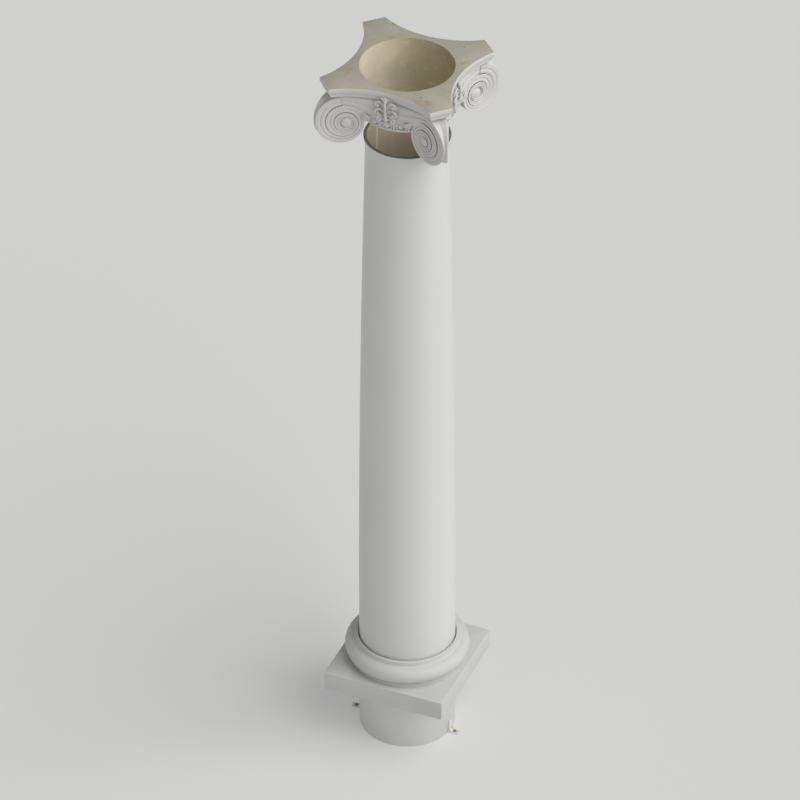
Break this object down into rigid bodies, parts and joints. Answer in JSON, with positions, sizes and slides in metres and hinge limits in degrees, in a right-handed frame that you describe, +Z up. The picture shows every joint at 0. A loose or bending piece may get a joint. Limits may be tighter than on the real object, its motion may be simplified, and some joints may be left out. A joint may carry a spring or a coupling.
{
  "type": "round column",
  "caption": "Hollow tapered round column with a raised base ring and square plinth, floor brackets, and an angular Ionic capital held above the open shaft.",
  "frame": {"origin": "on the floor, at the centre of the shaft's foot", "axes": "+Z up along the column's axis; -Y is the front face of plinth and capital, +X its right side"},
  "size_m": [0.4152, 0.4152, 2.421],
  "materials": {
    "shaft_shell": "satin off-white paint on a glass-fibre shell, olive brown inside",
    "capital_casting": "off-white painted carving, bare beige composite on top and in the bore",
    "base_casting": "matt off-white primer on a composite casting",
    "bracket_zinc": "yellow zinc plate",
    "screw_blue": "blue coated screw"
  },
  "bodies": {
    "root": {"shaft": "shaft_shell", "capital": "capital_casting", "base_ring": "base_casting", "plinth": "base_casting", "bracket_left": "bracket_zinc", "bracket_right": "bracket_zinc", "screw_left": "screw_blue", "screw_right": "screw_blue"}
  },
  "joints": []
}
